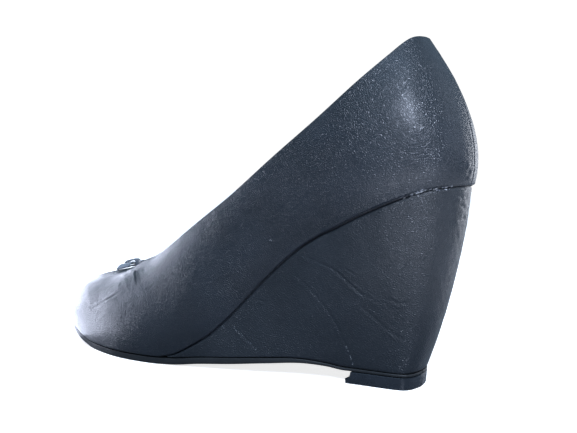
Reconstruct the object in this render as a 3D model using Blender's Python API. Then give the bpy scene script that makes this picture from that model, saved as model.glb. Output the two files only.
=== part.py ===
"""Wedge pump, one left shoe: hollow upper, covered wedge, outsole, top piece, insole and bow.

The toe points to -X and the heel to +X. The outer side of the foot is at -Y, the inner
side at +Y, and +Z is up. The shoe stands on the floor at z = 0, on the tread under the
ball and on the top piece under the heel.
"""
import math

import bpy
import numpy as np
from mathutils import Vector
from mathutils.bvhtree import BVHTree

# Sizes of the shoe, in metres
LENGTH = 0.2335
BALL_WIDTH = 0.0765
SEAT_WIDTH = 0.0525
COLLAR_WIDTH = 0.0575
TIP_WIDTH = 0.0310
SEAT_HEIGHT = 0.0860
COUNTER_HEIGHT = 0.0635
THROAT_HEIGHT = 0.0430
TOE_SPRING = 0.0096

# Sizes of the pieces, in metres
WALL = 0.0018
OUTSOLE_THICKNESS = 0.0030
INSOLE_THICKNESS = 0.0025
TOP_PIECE_HEIGHT = 0.0053
LIP_REACH = 0.0019
LIP_THICKNESS = 0.0022
SKIVED_EDGE = 0.0006
WEDGE_STEP = 0.0011
CLEARANCE = 0.0003
INSOLE_PLAY = 0.0005

# The bow on the throat, in metres
BOW_WIDTH = 0.0190
BOW_DEPTH = 0.0085
BOW_HEIGHT = 0.0036
BOW_STRAP = 0.0010
BOW_BAND_WIDTH = 0.0042
BOW_SETBACK = 0.0130
BOW_TURN = 10.0

# Shares of the bow: its height and width where the band pinches it, the share of a loop's
# length at which it is full again, how the fullness lies over and under the fold, and how
# round the loops' ends and the band's corners are
PINCHED_HEIGHT = 0.42
PINCHED_WIDTH = 0.60
FULL_AT = 0.60
FULL_OVER = 0.70
FULL_UNDER = 0.30
LOOP_ROUND = 0.70
BAND_ROUND = 0.45
BOW_STEPS = 44
BAND_STEPS = 16

# Mesh steps
STEPS_PER_ROW = 4
STEPS_UP = 11
WEDGE_LEVELS = 8

# Sections of the last, from the toe tip to the back of the heel.
# along and top_along are shares of the length from the heel; outer and inner are shares of
# half the ball width, or of half the seat width where seat is 1; top_outer and top_inner are
# shares of half the collar width; rise is 0 at the throat's height and 1 at the counter's top;
# lean_out and lean_in are the wall's tilt in degrees at the seam and at the topline;
# low and high are the reach of the wall's two curves, as shares of its height there.
LAST = [
    dict(along=1.000, outer=-0.080, inner=0.080, seat=0.0, top_along=0.772, top_outer=-0.07,
         top_inner=0.07, rise=0.000, lean_out=12, lean_in=70, low=0.42, high=0.40),
    dict(along=0.974, outer=0.295, inner=0.385, seat=0.0, top_along=0.768, top_outer=0.10,
         top_inner=0.25, rise=0.002, lean_out=13, lean_in=68, low=0.42, high=0.40),
    dict(along=0.913, outer=0.610, inner=0.655, seat=0.0, top_along=0.755, top_outer=0.31,
         top_inner=0.43, rise=0.007, lean_out=15, lean_in=63, low=0.41, high=0.38),
    dict(along=0.827, outer=0.820, inner=0.865, seat=0.0, top_along=0.729, top_outer=0.50,
         top_inner=0.61, rise=0.028, lean_out=15, lean_in=58, low=0.40, high=0.36),
    dict(along=0.720, outer=0.995, inner=0.980, seat=0.0, top_along=0.680, top_outer=0.67,
         top_inner=0.75, rise=0.058, lean_out=15, lean_in=50, low=0.38, high=0.34),
    dict(along=0.613, outer=1.000, inner=0.940, seat=0.0, top_along=0.621, top_outer=0.82,
         top_inner=0.85, rise=0.118, lean_out=15, lean_in=40, low=0.36, high=0.33),
    dict(along=0.506, outer=0.905, inner=0.745, seat=0.0, top_along=0.527, top_outer=0.93,
         top_inner=0.92, rise=0.245, lean_out=15, lean_in=30, low=0.34, high=0.33),
    dict(along=0.400, outer=0.740, inner=0.590, seat=0.0, top_along=0.443, top_outer=0.99,
         top_inner=0.94, rise=0.361, lean_out=16, lean_in=22, low=0.34, high=0.33),
    dict(along=0.297, outer=0.990, inner=0.860, seat=1.0, top_along=0.349, top_outer=1.01,
         top_inner=0.96, rise=0.512, lean_out=18, lean_in=17, low=0.34, high=0.33),
    dict(along=0.199, outer=1.020, inner=0.970, seat=1.0, top_along=0.254, top_outer=0.99,
         top_inner=0.95, rise=0.664, lean_out=21, lean_in=15, low=0.34, high=0.33),
    dict(along=0.105, outer=0.960, inner=0.950, seat=1.0, top_along=0.175, top_outer=0.90,
         top_inner=0.86, rise=0.806, lean_out=21, lean_in=17, low=0.34, high=0.33),
    dict(along=0.036, outer=0.730, inner=0.730, seat=1.0, top_along=0.122, top_outer=0.66,
         top_inner=0.66, rise=0.917, lean_out=19, lean_in=25, low=0.34, high=0.34),
    dict(along=0.007, outer=0.380, inner=0.370, seat=1.0, top_along=0.093, top_outer=0.36,
         top_inner=0.31, rise=0.988, lean_out=16, lean_in=32, low=0.34, high=0.34),
    dict(along=0.000, outer=0.000, inner=0.000, seat=1.0, top_along=0.081, top_outer=0.00,
         top_inner=0.00, rise=1.000, lean_out=15, lean_in=35, low=0.33, high=0.34),
]

# Outline of the outsole, toe to heel, in the same rows as the last: shares of half the ball
# width, or of half the top piece's width where tip is 1.
TREAD_OUTLINE = [
    dict(along=1.000, outer=-0.080, inner=0.080, tip=0.0),
    dict(along=0.974, outer=0.290, inner=0.380, tip=0.0),
    dict(along=0.913, outer=0.600, inner=0.650, tip=0.0),
    dict(along=0.827, outer=0.800, inner=0.860, tip=0.0),
    dict(along=0.720, outer=0.980, inner=0.980, tip=0.0),
    dict(along=0.613, outer=0.985, inner=0.940, tip=0.0),
    dict(along=0.506, outer=0.890, inner=0.745, tip=0.0),
    dict(along=0.405, outer=0.775, inner=0.560, tip=0.0),
    dict(along=0.320, outer=0.660, inner=0.460, tip=0.0),
    dict(along=0.240, outer=1.340, inner=0.920, tip=1.0),
    dict(along=0.172, outer=1.215, inner=0.790, tip=1.0),
    dict(along=0.115, outer=1.150, inner=0.640, tip=1.0),
    dict(along=0.089, outer=0.930, inner=0.210, tip=1.0),
    dict(along=0.082, outer=0.400, inner=-0.400, tip=1.0),
]

# Underside of the outsole: spring is a share of the toe spring, and heel a share of the
# top piece's height.
TREAD = [
    dict(along=1.00, spring=1.00, heel=0.00),
    dict(along=0.95, spring=0.80, heel=0.00),
    dict(along=0.91, spring=0.53, heel=0.00),
    dict(along=0.86, spring=0.19, heel=0.00),
    dict(along=0.81, spring=0.02, heel=0.00),
    dict(along=0.74, spring=0.00, heel=0.00),
    dict(along=0.63, spring=0.00, heel=0.00),
    dict(along=0.57, spring=0.00, heel=0.10),
    dict(along=0.51, spring=0.00, heel=0.40),
    dict(along=0.44, spring=0.00, heel=0.66),
    dict(along=0.37, spring=0.00, heel=0.98),
    dict(along=0.29, spring=0.00, heel=1.26),
    dict(along=0.25, spring=0.00, heel=1.18),
    dict(along=0.212, spring=0.00, heel=1.00),
    dict(along=0.00, spring=0.00, heel=1.00),
]

# Thickness of the outsole, as a share of its full thickness.
OUTSOLE = [
    dict(along=1.00, thick=0.65),
    dict(along=0.90, thick=0.85),
    dict(along=0.75, thick=1.00),
    dict(along=0.50, thick=1.00),
    dict(along=0.42, thick=0.90),
    dict(along=0.33, thick=0.72),
    dict(along=0.24, thick=0.45),
    dict(along=0.00, thick=0.38),
]

# Height of the wedge under the seam, as a share of its height at the back.
WEDGE = [
    dict(along=0.600, height=0.000),
    dict(along=0.567, height=0.018),
    dict(along=0.527, height=0.062),
    dict(along=0.490, height=0.118),
    dict(along=0.450, height=0.213),
    dict(along=0.410, height=0.327),
    dict(along=0.365, height=0.453),
    dict(along=0.320, height=0.563),
    dict(along=0.275, height=0.658),
    dict(along=0.230, height=0.742),
    dict(along=0.180, height=0.819),
    dict(along=0.130, height=0.885),
    dict(along=0.080, height=0.943),
    dict(along=0.040, height=0.980),
    dict(along=0.000, height=1.000),
]
WEDGE_TUCK = 0.42
STEP_FRONT = 0.45

HEEL_LIFT = TOP_PIECE_HEIGHT + CLEARANCE
WEDGE_HEIGHT = SEAT_HEIGHT - HEEL_LIFT - OUTSOLE_THICKNESS * OUTSOLE[-1]["thick"] - CLEARANCE


def ease(value):
    """A smooth step from 0 to 1."""
    value = np.clip(value, 0.0, 1.0)
    return value * value * (3 - 2 * value)


def column(table, name):
    """One named column of a table as an array."""
    return np.array([row[name] for row in table], dtype=float)


def through(table, name, along):
    """Value of a column at places along the shoe, on a smooth curve with no overshoot."""
    order = np.argsort(column(table, "along"))
    places = column(table, "along")[order]
    values = column(table, name)[order]
    gaps = np.diff(places)
    slopes = np.diff(values) / gaps
    tangents = np.concatenate([slopes[:1], np.zeros(len(slopes) - 1), slopes[-1:]])
    same_way = slopes[:-1] * slopes[1:] > 0
    before = np.where(same_way, slopes[:-1], 1.0)
    after = np.where(same_way, slopes[1:], 1.0)
    mean = (gaps[:-1] + gaps[1:]) / (gaps[:-1] / after + gaps[1:] / before)
    tangents[1:-1] = np.where(same_way, mean, 0.0)
    along = np.clip(along, places[0], places[-1])
    span = np.clip(np.searchsorted(places, along, side="right") - 1, 0, len(gaps) - 1)
    t = (along - places[span]) / gaps[span]
    start = values[span] * (1 + 2 * t) * (1 - t) ** 2
    start += gaps[span] * tangents[span] * t * (1 - t) ** 2
    end = values[span + 1] * t * t * (3 - 2 * t)
    end += gaps[span] * tangents[span + 1] * t * t * (t - 1)
    return start + end


def tread_height(along):
    """Height of the outsole's underside above the floor."""
    spring = through(TREAD, "spring", along) * TOE_SPRING
    return spring + through(TREAD, "heel", along) * HEEL_LIFT


def sole_height(along):
    """Height of the outsole's upper face."""
    return tread_height(along) + through(OUTSOLE, "thick", along) * OUTSOLE_THICKNESS


def seam_height(along):
    """Height of the seam where the upper meets the wedge or the outsole."""
    return sole_height(along) + CLEARANCE + through(WEDGE, "height", along) * WEDGE_HEIGHT


def round_trip(outer, inner):
    """Rows once round the shoe: toe, outer side, heel, inner side."""
    return np.concatenate([outer, inner[1:-1][::-1]])


def smooth_loop(points, steps):
    """A closed curve through the points, with even curvature and some steps to each span."""
    count = len(points)
    ties = 4 * np.eye(count) + np.roll(np.eye(count), 1, 0) + np.roll(np.eye(count), -1, 0)
    after = np.roll(points, -1, axis=0)
    bends = np.linalg.solve(ties, 6 * (after - 2 * points + np.roll(points, 1, axis=0)))
    bends_after = np.roll(bends, -1, axis=0)
    t = (np.arange(steps) / steps)[None, :, None]
    chord = (after - points - (2 * bends + bends_after) / 6)[:, None, :]
    curve = points[:, None, :] + t * chord + t ** 2 * bends[:, None, :] / 2
    curve = curve + t ** 3 * (bends_after - bends)[:, None, :] / 6
    return curve.reshape(count * steps, points.shape[1])


def outward(loop):
    """Level unit vectors that point away from a closed loop."""
    along = np.roll(loop, -1, axis=0) - np.roll(loop, 1, axis=0)
    away = np.stack([along[:, 1], -along[:, 0], np.zeros(len(loop))], axis=1)
    away /= np.linalg.norm(away, axis=1)[:, None]
    side = np.sum((loop[:, :2] - loop[:, :2].mean(axis=0)) * away[:, :2])
    return away * math.copysign(1.0, side)


def outline(table, name, base_width, end_width):
    """Level outline of a table's rows, as (distance from the heel, side, 0)."""
    half = (base_width + column(table, name) * (end_width - base_width)) / 2
    along = column(table, "along") * LENGTH
    outer = np.stack([along, -column(table, "outer") * half, 0 * along], axis=1)
    inner = np.stack([along, column(table, "inner") * half, 0 * along], axis=1)
    return round_trip(outer, inner)


def seam_loop(steps, inset=0.0):
    """The seam round the last, moved inward by the inset and lying at the seam's height."""
    loop = smooth_loop(outline(LAST, "seat", BALL_WIDTH, SEAT_WIDTH), steps)
    loop = loop - outward(loop) * inset
    loop[:, 2] = seam_height(loop[:, 0] / LENGTH)
    return loop


def wedge_top_loop(steps):
    """The wedge's upper edge: under the seam, and stepped in a little round the heel."""
    loop = seam_loop(steps)
    share = ease(1 - loop[:, 0] / (STEP_FRONT * LENGTH))
    loop = loop - outward(loop) * WEDGE_STEP * share[:, None]
    loop[:, 2] -= CLEARANCE
    return loop


def sole_loop(steps):
    """The outline of the outsole."""
    return smooth_loop(outline(TREAD_OUTLINE, "tip", BALL_WIDTH, TIP_WIDTH), steps)


def upper_surface(steps, levels):
    """Outer face of the upper: closed round the last, and open from the seam to the topline."""
    rows = len(LAST)
    low = outline(LAST, "seat", BALL_WIDTH, SEAT_WIDTH)
    low[:, 2] = seam_height(low[:, 0] / LENGTH)
    counter_top = SEAT_HEIGHT + COUNTER_HEIGHT
    along = column(LAST, "top_along") * LENGTH
    height = THROAT_HEIGHT + column(LAST, "rise") * (counter_top - THROAT_HEIGHT)
    half = COLLAR_WIDTH / 2
    top_outer = np.stack([along, -column(LAST, "top_outer") * half, height], axis=1)
    top_inner = np.stack([along, column(LAST, "top_inner") * half, height], axis=1)
    top = round_trip(top_outer, top_inner)
    around = round_trip(np.arange(rows), np.arange(rows))
    reach = np.linalg.norm(top - low, axis=1)
    up = np.array([[0.0, 0.0, 1.0]])
    lean_out = np.radians(column(LAST, "lean_out"))[around][:, None]
    lean_in = np.radians(column(LAST, "lean_in"))[around][:, None]
    away_low = outward(low)
    away_top = away_low + outward(top)
    away_top /= np.linalg.norm(away_top, axis=1)[:, None]
    low_pull = (reach * column(LAST, "low")[around])[:, None]
    low_pull = low_pull * (away_low * np.sin(lean_out) + up * np.cos(lean_out))
    top_pull = (reach * column(LAST, "high")[around])[:, None]
    top_pull = top_pull * (away_top * np.sin(lean_in) - up * np.cos(lean_in))
    first = seam_loop(steps)[:, None, :]
    second = first + smooth_loop(low_pull, steps)[:, None, :]
    last = smooth_loop(top, steps)[:, None, :]
    third = last + smooth_loop(top_pull, steps)[:, None, :]
    t = np.linspace(0.0, 1.0, levels + 1)[None, :, None]
    face = first * (1 - t) ** 3 + 3 * second * t * (1 - t) ** 2
    return face + 3 * third * t ** 2 * (1 - t) + last * t ** 3


def surface_normals(grid):
    """Unit normals of a grid that closes on itself along its first axis."""
    around = np.roll(grid, -1, axis=0) - np.roll(grid, 1, axis=0)
    upward = np.gradient(grid, axis=1)
    normals = np.cross(around, upward)
    normals /= np.linalg.norm(normals, axis=2)[:, :, None]
    middle = grid[:, :1].mean(axis=(0, 1))
    side = np.sum((grid[:, 0, :2] - middle[:2]) * normals[:, 0, :2])
    return normals * math.copysign(1.0, side)


def material(name, colour, roughness):
    """A plain Principled material."""
    made = bpy.data.materials.new(name)
    made.use_nodes = True
    shader = made.node_tree.nodes["Principled BSDF"]
    shader.inputs["Base Color"].default_value = (*colour, 1.0)
    shader.inputs["Roughness"].default_value = roughness
    shader.inputs["Metallic"].default_value = 0.0
    return made


def solid(name, points, faces, finish, sharp_angle=40.0):
    """A named closed solid in the shoe's frame, from points (from heel, side, height)."""
    placed = np.array(points, dtype=float)
    placed[:, 0] = LENGTH / 2 - placed[:, 0]
    mesh = bpy.data.meshes.new(name)
    mesh.from_pydata(placed.tolist(), [], faces)
    mesh.materials.append(finish)
    made = bpy.data.objects.new(name, mesh)
    bpy.context.scene.collection.objects.link(made)
    signed = 0.0
    mesh.calc_loop_triangles()
    for triangle in mesh.loop_triangles:
        a, b, c = (placed[index] for index in triangle.vertices)
        signed += np.dot(a, np.cross(b, c))
    if signed < 0:
        mesh.flip_normals()
    mesh.shade_smooth()
    mesh.set_sharp_from_angle(angle=math.radians(sharp_angle))
    return made


def tube_faces(rings, ring_size, closed):
    """Quads between neighbouring rings; a tube that isn't closed gets a face at each end."""
    faces = []
    for ring in range(rings if closed else rings - 1):
        here = ring * ring_size
        there = ((ring + 1) % rings) * ring_size
        for step in range(ring_size):
            after = (step + 1) % ring_size
            faces.append((here + step, here + after, there + after, there + step))
    if not closed:
        faces.append(tuple(range(ring_size))[::-1])
        faces.append(tuple((rings - 1) * ring_size + step for step in range(ring_size)))
    return faces


def ring_solid(name, sections, finish):
    """A solid whose closed sections follow each other round the shoe."""
    count, size = sections.shape[:2]
    return solid(name, sections.reshape(-1, 3), tube_faces(count, size, True), finish)


def loft_solid(name, sections, finish):
    """A solid whose closed sections follow each other along the shoe, with both ends closed."""
    count, size = sections.shape[:2]
    return solid(name, sections.reshape(-1, 3), tube_faces(count, size, False), finish)


def sides(loop):
    """The loop's outer and inner halves, both from the toe to the heel, without the two tips."""
    half = len(loop) // 2
    return loop[1:half], loop[half + 1:][::-1]


def slab(name, low, high, finish):
    """A solid between a lower and an upper loop that share their rows."""
    low_outer, low_inner = sides(low)
    high_outer, high_inner = sides(high)
    sections = np.stack([high_outer, low_outer, low_inner, high_inner], axis=1)
    return loft_solid(name, sections, finish)


def at_height(loop, height):
    """A copy of a level loop, lifted to a height for each place along the shoe."""
    lifted = loop.copy()
    lifted[:, 2] = height(loop[:, 0] / LENGTH)
    return lifted


def make_upper(finish):
    """The hollow upper, with its folded edge at the collar."""
    outer = upper_surface(STEPS_PER_ROW, STEPS_UP)
    inner = outer - surface_normals(outer) * WALL
    inner[:, 0] = seam_loop(STEPS_PER_ROW, WALL)
    fold = (outer[:, -1] + inner[:, -1]) / 2
    fold[:, 2] += WALL / 3
    sections = np.concatenate([outer, fold[:, None, :], inner[:, ::-1]], axis=1)
    return ring_solid("upper", sections, finish)


def make_wedge(finish):
    """The covered wedge between the outsole and the seam, skived thin under the ball."""
    base = at_height(sole_loop(STEPS_PER_ROW), sole_height)
    base[:, 2] += CLEARANCE
    top = wedge_top_loop(STEPS_PER_ROW)
    thick = np.minimum(*[side[:, 2] for side in sides(top - base)])
    first = int(np.argmax(thick > SKIVED_EDGE))
    t = np.linspace(0.0, 1.0, WEDGE_LEVELS)[None, :, None]
    tuck = WEDGE_TUCK * t + (1 - WEDGE_TUCK) * t ** 2
    walls = []
    for high, low in zip(sides(top), sides(base)):
        high = high[first:, None, :]
        low = low[first:, None, :]
        wall = high + (low - high) * tuck
        wall[:, :, 2] = (high + (low - high) * t)[:, :, 2]
        walls.append(wall)
    sections = np.concatenate([walls[0], walls[1][:, ::-1]], axis=1)
    return loft_solid("wedge", sections, finish)


def make_outsole(finish):
    """The thin outsole, from the toe tip to under the heel."""
    loop = sole_loop(STEPS_PER_ROW)
    return slab("outsole", at_height(loop, tread_height), at_height(loop, sole_height), finish)


def make_insole(finish):
    """The insole board inside the upper, on the wedge and the outsole."""
    low = seam_loop(STEPS_PER_ROW, WALL + INSOLE_PLAY)
    high = low.copy()
    high[:, 2] += INSOLE_THICKNESS
    return slab("insole", low, high, finish)


def make_top_piece(finish):
    """The top piece under the heel, with its lip to the front."""
    outer, inner = sides(sole_loop(STEPS_PER_ROW))
    lip_front = column(TREAD, "along")[-2] * LENGTH
    body_front = lip_front - LIP_REACH
    behind = outer[:, 0] < body_front
    outer = outer[behind]
    inner = inner[behind]
    stations = [
        (lip_front, outer[0, 1], inner[0, 1], LIP_THICKNESS),
        (body_front, outer[0, 1], inner[0, 1], LIP_THICKNESS),
        (body_front - CLEARANCE, outer[0, 1], inner[0, 1], TOP_PIECE_HEIGHT),
    ]
    for side_outer, side_inner in zip(outer[1:], inner[1:]):
        stations.append((side_outer[0], side_outer[1], side_inner[1], TOP_PIECE_HEIGHT))
    sections = []
    for along, left, right, top in stations:
        sections.append([(along, left, top), (along, left, 0.0), (along, right, 0.0), (along, right, top)])
    return loft_solid("top_piece", np.array(sections), finish)


def on_vamp(upper, points):
    """Put points (across the bow, fore and aft, above the vamp) on the upper at the throat."""
    tree = BVHTree.FromObject(upper, bpy.context.evaluated_depsgraph_get())
    turn = math.radians(BOW_TURN)
    centre = LAST[0]["top_along"] * LENGTH + BOW_SETBACK
    placed = []
    for across, forward, height in points:
        along = centre + forward * math.cos(turn) + across * math.sin(turn)
        side = across * math.cos(turn) - forward * math.sin(turn)
        above = Vector((LENGTH / 2 - along, side, SEAT_HEIGHT))
        hit = tree.ray_cast(above, Vector((0.0, 0.0, -1.0)))[0]
        placed.append((along, side, hit.z + height))
    return placed


def make_bow_loops(upper, finish):
    """The bow's ribbon: one flattened ring, pinched in the middle into two loops."""
    half = BOW_WIDTH / 2
    middle = BOW_BAND_WIDTH / 2 + CLEARANCE
    angle = np.arange(BOW_STEPS) * 2 * math.pi / BOW_STEPS
    across = np.cos(angle) * (half - BOW_STRAP / 2)
    fullness = ease((np.abs(across) - middle) / (half * FULL_AT - middle))
    rise = (BOW_HEIGHT - BOW_STRAP) * (PINCHED_HEIGHT + (1 - PINCHED_HEIGHT) * fullness)
    bulge = np.sin(angle)
    share = np.where(bulge > 0, FULL_OVER, -FULL_UNDER)
    height = np.abs(bulge) ** LOOP_ROUND * rise * share
    height = height - height.min() + CLEARANCE + BOW_STRAP / 2
    path = np.stack([across, height], axis=1)
    tangent = np.roll(path, -1, axis=0) - np.roll(path, 1, axis=0)
    tangent /= np.linalg.norm(tangent, axis=1)[:, None]
    away = np.stack([tangent[:, 1], -tangent[:, 0]], axis=1) * BOW_STRAP / 2
    width = BOW_DEPTH / 2 * (PINCHED_WIDTH + (1 - PINCHED_WIDTH) * fullness)
    sections = []
    for centre, out, reach in zip(path, away, width):
        for spread, side in ((-1, 1), (1, 1), (1, -1), (-1, -1)):
            spot = centre + out * side
            sections.append((spot[0], reach * spread, spot[1]))
    points = on_vamp(upper, sections)
    return solid("bow_loops", points, tube_faces(BOW_STEPS, 4, True), finish)


def make_bow_band(upper, finish):
    """The band over the middle of the bow, down to the vamp before and behind it."""
    inside_width = BOW_DEPTH / 2 * PINCHED_WIDTH + 3 * CLEARANCE
    inside_height = BOW_STRAP + (BOW_HEIGHT - BOW_STRAP) * PINCHED_HEIGHT + 4 * CLEARANCE
    angle = np.linspace(0.0, math.pi, BAND_STEPS + 1)
    turn = np.sign(np.cos(angle)) * np.abs(np.cos(angle)) ** BAND_ROUND
    lift = np.sin(angle) ** BAND_ROUND
    points = []
    for step in range(BAND_STEPS + 1):
        for grow, spread in ((0, -1), (0, 1), (1, 1), (1, -1)):
            forward = turn[step] * (inside_width + grow * BOW_STRAP)
            height = CLEARANCE + lift[step] * (inside_height + grow * BOW_STRAP)
            points.append((spread * BOW_BAND_WIDTH / 2, forward, height))
    placed = on_vamp(upper, points)
    return solid("bow_band", placed, tube_faces(BAND_STEPS + 1, 4, False), finish)


def build():
    """Clear the scene and make every piece."""
    for old in list(bpy.data.objects):
        bpy.data.objects.remove(old, do_unlink=True)
    leather = material("black_leather", (0.016, 0.018, 0.026), 0.38)
    cover = material("wedge_leather", (0.018, 0.020, 0.028), 0.42)
    rubber = material("outsole_rubber", (0.012, 0.012, 0.014), 0.60)
    plastic = material("top_piece_plastic", (0.020, 0.020, 0.022), 0.35)
    lining = material("insole_lining", (0.030, 0.028, 0.028), 0.65)
    upper = make_upper(leather)
    make_wedge(cover)
    make_outsole(rubber)
    make_top_piece(plastic)
    make_insole(lining)
    make_bow_loops(upper, leather)
    make_bow_band(upper, leather)


build()
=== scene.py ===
"""Looks of the wedge pump: fine leather upper and lining, covered wedge, outsole, top piece,
insole and bow, on a pale floor in soft studio light.

Lengths are in metres unless a comment says millimetres. A point is (distance from the back of
the heel, side, height), with the outer side of the foot at negative values, until to_frame
places it: there the toe points to -X and the outer side to -Y.
"""
import math

import bpy
import numpy as np
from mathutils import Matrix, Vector
from mathutils.bvhtree import BVHTree


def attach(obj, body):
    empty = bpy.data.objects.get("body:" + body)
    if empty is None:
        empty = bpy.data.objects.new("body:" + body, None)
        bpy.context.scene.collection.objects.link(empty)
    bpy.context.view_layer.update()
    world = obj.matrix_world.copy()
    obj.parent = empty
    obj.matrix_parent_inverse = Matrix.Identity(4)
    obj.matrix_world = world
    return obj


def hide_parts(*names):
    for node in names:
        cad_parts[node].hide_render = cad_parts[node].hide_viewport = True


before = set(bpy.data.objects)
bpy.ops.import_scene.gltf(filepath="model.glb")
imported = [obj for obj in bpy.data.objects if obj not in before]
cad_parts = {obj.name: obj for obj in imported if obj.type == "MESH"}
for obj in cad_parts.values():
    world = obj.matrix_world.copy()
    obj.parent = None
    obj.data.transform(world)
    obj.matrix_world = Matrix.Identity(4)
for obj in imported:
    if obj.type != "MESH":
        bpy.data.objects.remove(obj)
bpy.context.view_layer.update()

MM = 0.001

# Sizes of the shoe
LENGTH = 0.2335
BALL_WIDTH = 0.0765
SEAT_WIDTH = 0.0525
COLLAR_WIDTH = 0.0575
TIP_WIDTH = 0.0310
SEAT_HEIGHT = 0.0860
COUNTER_HEIGHT = 0.0635
THROAT_HEIGHT = 0.0430
TOE_SPRING = 0.0096
WALL = 0.0018
OUTSOLE_THICKNESS = 0.0030
INSOLE_THICKNESS = 0.0025
TOP_PIECE_HEIGHT = 0.0053
LIP_REACH = 0.0019
LIP_THICKNESS = 0.0022
SKIVED_EDGE = 0.0006
WEDGE_STEP = 0.0011
CLEARANCE = 0.0003
INSOLE_PLAY = 0.0005

# The bow: its sizes, and its forms as shares
BOW_WIDTH = 0.0190
BOW_DEPTH = 0.0085
BOW_HEIGHT = 0.0036
BOW_STRAP = 0.0010
BOW_BAND_WIDTH = 0.0042
BOW_SETBACK = 0.0130
BOW_TURN = 10.0
PINCHED_HEIGHT = 0.42
PINCHED_WIDTH = 0.60
FULL_AT = 0.60
FULL_OVER = 0.84
FULL_UNDER = 0.16
LOOP_ROUND = 1.05
BAND_ROUND = 0.45
BAND_THINNING = 0.35
BAND_INSIDE = 0.05
RIBBON_FLAT = 0.86
RIBBON_SHARE = 0.65
RIBBON_THINNING = 0.55
PLEAT_DEPTH = 0.00010


def named_rows(columns, rows):
    """A table: rows of values with the columns' names."""
    return [dict(zip(columns.split(), row)) for row in rows]


# Sections of the last from the toe to the heel. At the seam: shares of the length and of half
# the width, which is the ball's where seat is 0 and the seat's where it is 1. At the topline:
# the same for the collar, and the rise from throat to counter. Between them: how far the wall
# leans out below and in above, in degrees, and how strongly it keeps to each lean.
LAST = named_rows("along outer inner seat top_along top_outer top_inner rise lean_out lean_in low high", (
    (1.000, -0.080, 0.080, 0.0, 0.772, -0.07, 0.07, 0.000, 12, 70, 0.42, 0.40),
    (0.974, 0.295, 0.385, 0.0, 0.768, 0.10, 0.25, 0.002, 13, 68, 0.42, 0.40),
    (0.913, 0.610, 0.655, 0.0, 0.755, 0.31, 0.43, 0.007, 15, 63, 0.41, 0.38),
    (0.827, 0.820, 0.865, 0.0, 0.729, 0.50, 0.61, 0.028, 15, 58, 0.40, 0.36),
    (0.720, 0.995, 0.980, 0.0, 0.680, 0.67, 0.75, 0.058, 15, 50, 0.38, 0.34),
    (0.613, 1.000, 0.940, 0.0, 0.621, 0.82, 0.85, 0.118, 15, 40, 0.36, 0.33),
    (0.506, 0.905, 0.745, 0.0, 0.527, 0.93, 0.92, 0.245, 15, 30, 0.34, 0.33),
    (0.400, 0.740, 0.590, 0.0, 0.443, 0.99, 0.94, 0.361, 16, 22, 0.34, 0.33),
    (0.297, 0.990, 0.860, 1.0, 0.349, 1.01, 0.96, 0.512, 18, 17, 0.34, 0.33),
    (0.199, 1.020, 0.970, 1.0, 0.254, 0.99, 0.95, 0.664, 21, 15, 0.34, 0.33),
    (0.105, 0.960, 0.950, 1.0, 0.175, 0.90, 0.86, 0.806, 21, 17, 0.34, 0.33),
    (0.036, 0.730, 0.730, 1.0, 0.122, 0.66, 0.66, 0.917, 19, 25, 0.34, 0.34),
    (0.007, 0.380, 0.370, 1.0, 0.093, 0.36, 0.31, 0.988, 16, 32, 0.34, 0.34),
    (0.000, 0.000, 0.000, 1.0, 0.081, 0.00, 0.00, 1.000, 15, 35, 0.33, 0.34),
))

# Outline of the outsole, in shares of half the ball's width, or of the heel tip's where tip is 1
TREAD_OUTLINE = named_rows("along outer inner tip", (
    (1.000, -0.080, 0.080, 0.0),
    (0.974, 0.290, 0.380, 0.0),
    (0.913, 0.600, 0.650, 0.0),
    (0.827, 0.800, 0.860, 0.0),
    (0.720, 0.980, 0.980, 0.0),
    (0.613, 0.985, 0.940, 0.0),
    (0.506, 0.890, 0.745, 0.0),
    (0.405, 0.775, 0.560, 0.0),
    (0.320, 0.660, 0.460, 0.0),
    (0.240, 1.340, 0.920, 1.0),
    (0.172, 1.215, 0.790, 1.0),
    (0.115, 1.150, 0.640, 1.0),
    (0.089, 0.930, 0.210, 1.0),
    (0.082, 0.400, -0.400, 1.0),
))

# Height of the outsole's underside, in shares of the toe spring and of the heel tip's height
TREAD = named_rows("along spring heel", (
    (1.00, 1.00, 0.00),
    (0.95, 0.80, 0.00),
    (0.91, 0.53, 0.00),
    (0.86, 0.19, 0.00),
    (0.81, 0.02, 0.00),
    (0.74, 0.00, 0.00),
    (0.63, 0.00, 0.00),
    (0.57, 0.00, 0.10),
    (0.51, 0.00, 0.40),
    (0.44, 0.00, 0.66),
    (0.37, 0.00, 0.98),
    (0.29, 0.00, 1.26),
    (0.25, 0.00, 1.18),
    (0.212, 0.00, 1.00),
    (0.00, 0.00, 1.00),
))

# Thickness of the outsole, as a share of its full thickness
OUTSOLE = named_rows("along thick", (
    (1.00, 0.65),
    (0.90, 0.85),
    (0.75, 1.00),
    (0.50, 1.00),
    (0.42, 0.90),
    (0.33, 0.72),
    (0.24, 0.45),
    (0.00, 0.38),
))

# Height of the wedge over the outsole, as a share of its height at the heel
WEDGE = named_rows("along height", (
    (0.600, 0.000),
    (0.567, 0.018),
    (0.527, 0.062),
    (0.490, 0.118),
    (0.450, 0.213),
    (0.410, 0.327),
    (0.365, 0.453),
    (0.320, 0.563),
    (0.275, 0.658),
    (0.230, 0.742),
    (0.180, 0.819),
    (0.130, 0.885),
    (0.080, 0.943),
    (0.040, 0.980),
    (0.000, 1.000),
))

# How much of the wedge's wall runs straight down, and where the step under the seam fades out
WEDGE_TUCK = 0.42
STEP_FRONT = 0.45

HEEL_LIFT = TOP_PIECE_HEIGHT + CLEARANCE
WEDGE_HEIGHT = SEAT_HEIGHT - HEEL_LIFT - OUTSOLE_THICKNESS * OUTSOLE[-1]["thick"] - CLEARANCE

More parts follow.
